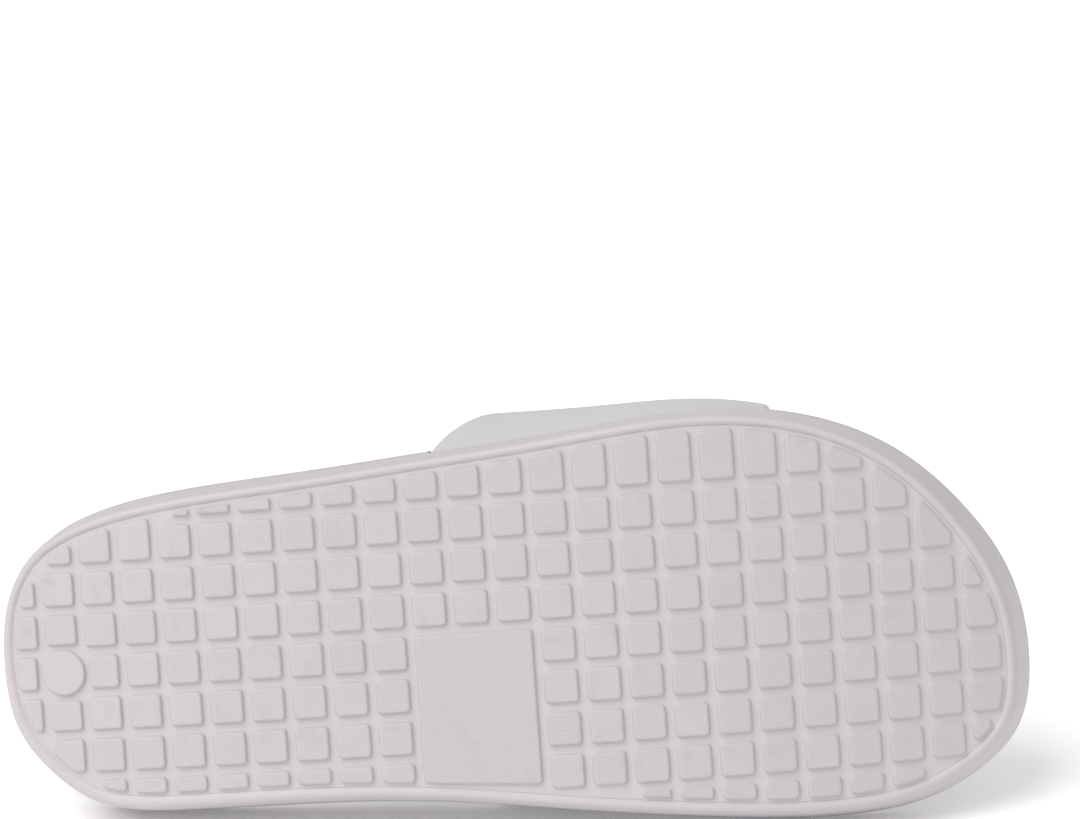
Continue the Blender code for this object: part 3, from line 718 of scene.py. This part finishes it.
def makeStrap(outline, material):
    skin = Skin()
    sections = []
    for u in np.linspace(0, 1, strap["rows"]):
        arch = splinePoints(archSection(outline, u), strap["archPoints"], closed=False)
        ends = [tabPoint(arch[0], strap["tab"])], [tabPoint(arch[-1], -strap["tab"])]
        sections.append(np.vstack([ends[0], arch, ends[1]]))
    half = strap["thickness"] / 2
    trim = half * strap["edgeTrim"]
    last = len(sections) - 1
    normals = [wallNormals(section) for section in sections]
    edgeTurn = [math.pi * (k + 1) / (strap["edgePoints"] + 1) for k in range(strap["edgePoints"])]
    rings = []
    for station in range(len(sections[0])):
        middle = [section[station] for section in sections]
        across = [normal[station] * half for normal in normals]
        outFront = middle[last] - middle[last - 1]
        outFront *= trim / np.linalg.norm(outFront)
        outRear = middle[0] - middle[1]
        outRear *= trim / np.linalg.norm(outRear)
        front, rear = middle[last] - outFront, middle[0] - outRear
        trimmed = [rear] + middle[1:last] + [front]
        # Inner face forwards, front edge round, outer face backwards, rear edge round
        ring = [point - out for point, out in zip(trimmed, across)]
        for a in edgeTurn:
            ring.append(front - across[last] * math.cos(a) + outFront * math.sin(a))
        ring += [point + out for point, out in zip(trimmed[::-1], across[::-1])]
        for a in edgeTurn:
            ring.append(rear + across[0] * math.cos(a) + outRear * math.sin(a))
        ring = np.array(ring)
        rings.append(skin.loop(ring[:, :2], ring[:, 2]))
    skin.strips(rings)
    n = len(rings[0])
    rows = last + 1
    for cap in (rings[0], rings[-1]):
        for i in range(rows - 1):
            mirror = rows + strap["edgePoints"] + rows - 1 - i
            skin.faces.append((cap[i], cap[i + 1], cap[mirror - 1], cap[mirror]))
        front = [cap[rows - 1 + k] for k in range(strap["edgePoints"] + 2)]
        rear = [cap[(n - strap["edgePoints"] - 1 + k) % n] for k in range(strap["edgePoints"] + 2)]
        skin.faces.append(tuple(front))
        skin.faces.append(tuple(rear))
    return skin.piece("strapWall", "strap", "coated_strap", material)


# Knitted lining on the strap's inner face
lining = {
    "from": 0.035, "rows": 40, "skip": 4, "thickness": 0.0005, "sunk": 0.0002, "edge": 0.0006,
}


def makeLining(outline, material):
    skin = Skin()
    half = strap["thickness"] / 2
    grids = [], []
    for u in np.linspace(lining["from"], 1 - lining["from"], lining["rows"]):
        arch = splinePoints(archSection(outline, u), strap["archPoints"], closed=False)
        normal = wallNormals(arch)
        keep = slice(lining["skip"], -lining["skip"])
        for grid, depth in zip(grids, (half - lining["sunk"], half + lining["thickness"])):
            grid.append((arch - normal * depth)[keep])
    against, bare = grids
    for row, inner in ((0, 1), (-1, -2)):
        step = bare[inner] - bare[row]
        bare[row] += step / np.linalg.norm(step, axis=1)[:, None] * lining["edge"]
    against = [skin.loop(row[:, :2], row[:, 2]) for row in against]
    bare = [skin.loop(row[:, :2], row[:, 2]) for row in bare]
    for rows in (against, bare):
        skin.strips(rows, closed=False)
    for end in (0, -1):
        skin.strip(against[end], bare[end], closed=False)
        skin.strip([row[end] for row in against], [row[end] for row in bare], closed=False)
    return skin.piece("strapLining", "strap", None, material)


def pebbledFoam(name, base, shade):
    # Footbed foam with an embossed pebble grain: low round pebbles 2 mm wide in a fine net of
    # creases with painted shade, and soft clouds of the same darker colour.
    material, tree = newMaterial(name)
    place = shoePlace(tree)
    cloud = noise(tree, place, 0.030, 3).outputs["Fac"]
    warp = addNode(
        tree, "ShaderNodeVectorMath", {"operation": "MULTIPLY_ADD", 1: (0.0012, 0.0012, 0.0012)},
        {0: noise(tree, place, 0.0040, 2).outputs["Color"], 2: place.outputs[0]})
    pebble = addNode(
        tree, "ShaderNodeTexVoronoi", {"feature": "DISTANCE_TO_EDGE", "Scale": 480.0},
        {"Vector": warp.outputs[0]}).outputs["Distance"]
    fine = noise(tree, place, 0.0005, 3, 0.6).outputs["Fac"]
    raised = spread(tree, pebble, 0.0, 0.22)
    # painted shade: the creases between the pebbles darker, where the bump is low
    colour = mixColour(tree, spread(tree, pebble, 0.0, 0.10, 0.35, 0.0), base, shade)
    colour = mixColour(tree, spread(tree, cloud, 0.45, 0.70, 0.0, 0.30), colour, shade)
    finishFoam(tree, colour, scaled(tree, fine, 0.15, raised), 0.00012, 0.60, fine)
    return material


def knittedLining(name, base, shade):
    # Fine warp-knit lining: small soft loops in rows, with painted shade between them. The rows are
    # 0.75 mm apart, a little coarser than real ones, to show.
    material, tree = newMaterial(name)
    place = shoePlace(tree)

    def bands(direction, scale):
        return addNode(
            tree, "ShaderNodeTexWave",
            {"bands_direction": direction, "Scale": scale, "Distortion": 0.6, "Detail": 1.0},
            {"Vector": place.outputs[0]}).outputs["Fac"]

    loops = product(tree, bands("X", 420.0), bands("DIAGONAL", 300.0))
    fuzz = noise(tree, place, 0.0008, 3, 0.7).outputs["Fac"]
    # painted shade between the loops, where the bump is low
    colour = mixColour(tree, spread(tree, loops, 0.0, 0.6), shade, base)
    finishFoam(tree, colour, scaled(tree, fuzz, 0.5, loops), 0.00012, 0.85, fuzz)
    return material


# Footbed
footbed = {
    "core": 0.0030, "rim": 0.0052, "side": 0.0036, "rimWidth": 0.0040, "dish": 0.0160,
    "support": 0.0045, "supportPlace": 0.42, "supportSpread": 0.13, "supportReach": 0.42,
    "supportCarry": 0.25, "fill": 0.0045,
    "baseSpacing": 0.010, "sharpAngle": math.radians(40),
    # the strap's room: rows along, points over the whole arch, points of them that are cut
    "cutRows": 25, "cutPoints": 120, "cutReach": 30,
    # the side's lower edge, rounded: inward as a share of the edge break, up
    "base": ((2.0, 0), (0.7, 0.00012), (0.3, 0.0005), (0, 0.0018)),
    # inward from the widest outline as a share of the rim's width, drop as a share of the crest's
    "lip": (
        (0.00, 1.45), (0.02, 1.20), (0.08, 0.95), (0.20, 0.62), (0.38, 0.30), (0.60, 0.10),
        (0.85, 0.00),
    ),
    "loops": (0.02, 0.12, 0.25, 0.40, 0.55, 0.70, 0.85, 1.0),
}


def footbedHeight(x, y, fromEdge):
    rim = footbed["rim"] * sideValue(4, x)
    dish = smooth((fromEdge - footbed["rimWidth"]) / footbed["dish"])
    along = math.exp(-((x / sole["length"] - footbed["supportPlace"]) / footbed["supportSpread"]) ** 2)
    across = smooth(y / (footbed["supportReach"] * sole["ballWidth"]))
    support = footbed["support"] * along * across * (1 - (1 - footbed["supportCarry"]) * dish)
    return partingHeight(x) + rim + (footbed["core"] - rim) * dish + support


def strapCutter(outline, medial):
    # The room that one end of the strap takes in the footbed, run out past the footbed's side.
    along = sole["gap"] / (strap["frontLateral"] - strap["rearLateral"])
    reach = strap["tab"] + sole["gap"]
    near = strap["thickness"] / 2 + sole["gap"]
    past = strap["thickness"] / 2 + strap["pastEdge"]
    left, right = (near, past) if medial else (past, near)
    skin = Skin()
    outer, inner = [], []
    for u in np.linspace(-along, 1 + along, footbed["cutRows"]):
        arch = splinePoints(archSection(outline, u), footbed["cutPoints"], closed=False)
        arch = arch[::-1] if medial else arch
        tab = tabPoint(arch[0], -reach if medial else reach)
        section = np.vstack([[tab], arch[:footbed["cutReach"]]])
        normal = wallNormals(section)
        outer.append(section + normal * left)
        inner.append(section - normal * right)
    grids = []
    for grid in (outer, inner):
        grids.append([skin.loop(row[:, :2], row[:, 2]) for row in grid])
        skin.strips(grids[-1], closed=False)
    first, second = grids
    for end in (0, -1):
        skin.strip(first[end], second[end], closed=False)
    for end in (0, -1):
        skin.strip([row[end] for row in first], [row[end] for row in second], closed=False)
    return skin.solid("cutter")


def makeFootbed(outline, material):
    skin = Skin()
    base = partingHeight(outline[:, 0]) + sole["gap"]
    drop = footbed["rim"] - footbed["side"]

    def ring(distance, lower):
        flat = inset(outline, distance)
        tall = [footbedHeight(p[0], p[1], distance) - lower for p in flat]
        return flat, np.array(tall)

    loops = []
    for inward, up in footbed["base"]:
        loops.append(skin.loop(inset(outline, sole["edgeBreak"] * inward), base + up))
    for inward, fall in footbed["lip"]:
        loops.append(skin.loop(*ring(footbed["rimWidth"] * inward, drop * fall)))
    for share in footbed["loops"]:
        loops.append(skin.loop(*ring(footbed["rimWidth"] + footbed["dish"] * share, 0)))
    skin.strips(loops)
    inner = inset(outline, footbed["rimWidth"] + footbed["dish"])

    def dishHeight(x, y):
        return footbedHeight(x, y, edgeDistance(outline, x, y))

    def baseHeight(x, y):
        return partingHeight(x) + sole["gap"]

    spacing, baseSpacing = footbed["fill"], footbed["baseSpacing"]
    skin.web(loops[-1], [], fillPoints(inner, dishHeight, spacing, spacing * 0.6))
    skin.web(loops[0], [], fillPoints(outline, baseHeight, baseSpacing, baseSpacing / 2))
    made = skin.piece("footbedPad", "footbed", "footbed_foam", material)
    for medial in (False, True):
        cutter = strapCutter(outline, medial)
        cut = made.modifiers.new("strap room", "BOOLEAN")
        cut.operation, cut.solver, cut.object = "DIFFERENCE", "MANIFOLD", cutter
        bpy.context.view_layer.objects.active = made
        bpy.ops.object.modifier_apply(modifier=cut.name)
        bpy.data.objects.remove(cutter)
    made.data.shade_smooth()
    made.data.set_sharp_from_angle(angle=footbed["sharpAngle"])
    print("footbed cut for the strap:", len(made.data.polygons), "faces")
    return made


outline = soleOutline(sole["points"])
coarse = soleOutline(sole["coarsePoints"])
plateFoam = treadFoam("compressionMouldedTreadFoam", "#bfb8b9", "#bab5b7", "#b5afb0", "#c1bbbc")
bodyFoam = mouldedFoam(
    "compressionMouldedBodyFoam", "#c0babb", "#c2bbbb", "#bdb8ba", 0.50, 0.00045, 0.00002)
bedFoam = pebbledFoam("embossedFootbedFoam", "#c4bdbe", "#b3acae")
strapSkin = mouldedFoam(
    "coatedStrapSkin", "#c0bfc1", "#c2c0c2", "#bdbcc0", 0.46, 0.00060, 0.00003)
liningKnit = knittedLining("warpKnitStrapLining", "#b9b7ba", "#aaa8ac")
makeTread(outline, coarse, plateFoam)
makeMidsole(outline, bodyFoam)
makeStrap(outline, strapSkin)
makeLining(outline, liningKnit)
makeFootbed(outline, bedFoam)

# Camera: the photograph's place, 100 mm lens
camera = {
    "place": (0.12626112, -0.81305533, 0.28159601),
    "right": (0.98991109, 0.13982786, -0.02289569),
    "up": (-0.00626174, 0.20460461, 0.97882472),
    "lens": 100, "sensor": 36,
}
right, up = Vector(camera["right"]), Vector(camera["up"])
away = right.cross(up)
lensData = bpy.data.cameras.new("camera")
lensData.lens, lensData.sensor_width = camera["lens"], camera["sensor"]
lensData.clip_start, lensData.clip_end = 0.01, 60
shot = bpy.data.objects.new("camera", lensData)
bpy.context.scene.collection.objects.link(shot)
turned = Matrix((right, up, away)).transposed().to_4x4()
shot.matrix_world = Matrix.Translation(camera["place"]) @ turned
bpy.context.scene.camera = shot

# Floor and light
studio = {
    # floorGlow: the floor's painted glow, which lightens the shadow under the shoe
    "floor": "#fafafa", "floorSize": 30, "floorGlow": 0.13, "world": 0.68,
    # name, direction it comes from, strength, width in degrees, colour
    "lamps": (
        ("key", (-0.58, -0.80, 1.15), 1.92, 40, "#fefdfe"),
    ),
}
floorData = bpy.data.meshes.new("floor")
edgeAt = studio["floorSize"] / 2
floorCorners = [(edgeAt * a, edgeAt * b, 0) for a, b in ((-1, -1), (1, -1), (1, 1), (-1, 1))]
floorData.from_pydata(floorCorners, [], [(0, 1, 2, 3)])
floor = bpy.data.objects.new("floor", floorData)
bpy.context.scene.collection.objects.link(floor)
# Opal acrylic floor, plain white and matt, with a faint painted glow of its own that lightens the
# shadow under the shoe
floorSheet, tree = newMaterial("glowingOpalAcrylicFloor")
shader = addNode(tree, "ShaderNodeBsdfPrincipled", {
    "Base Color": toLinear(studio["floor"]), "Roughness": 0.9, "Specular IOR Level": 0.1,
    "Emission Color": (1, 1, 1, 1), "Emission Strength": studio["floorGlow"],
})
addNode(tree, "ShaderNodeOutputMaterial", None, {"Surface": shader.outputs[0]})
floorData.materials.append(floorSheet)
world = bpy.data.worlds.new("studio")
world.use_nodes = True
background = world.node_tree.nodes["Background"]
background.inputs["Color"].default_value = (1, 1, 1, 1)
background.inputs["Strength"].default_value = studio["world"]
bpy.context.scene.world = world
for name, source, strength, width, colour in studio["lamps"]:
    lampData = bpy.data.lights.new(name, "SUN")
    lampData.angle, lampData.energy = math.radians(width), strength
    lampData.color = toLinear(colour)[:3]
    lamp = bpy.data.objects.new(name, lampData)
    bpy.context.scene.collection.objects.link(lamp)
    lamp.rotation_euler = (-Vector(source)).to_track_quat("-Z", "Y").to_euler()
bpy.context.scene.view_settings.view_transform = "Standard"
print("camera, floor and light set")
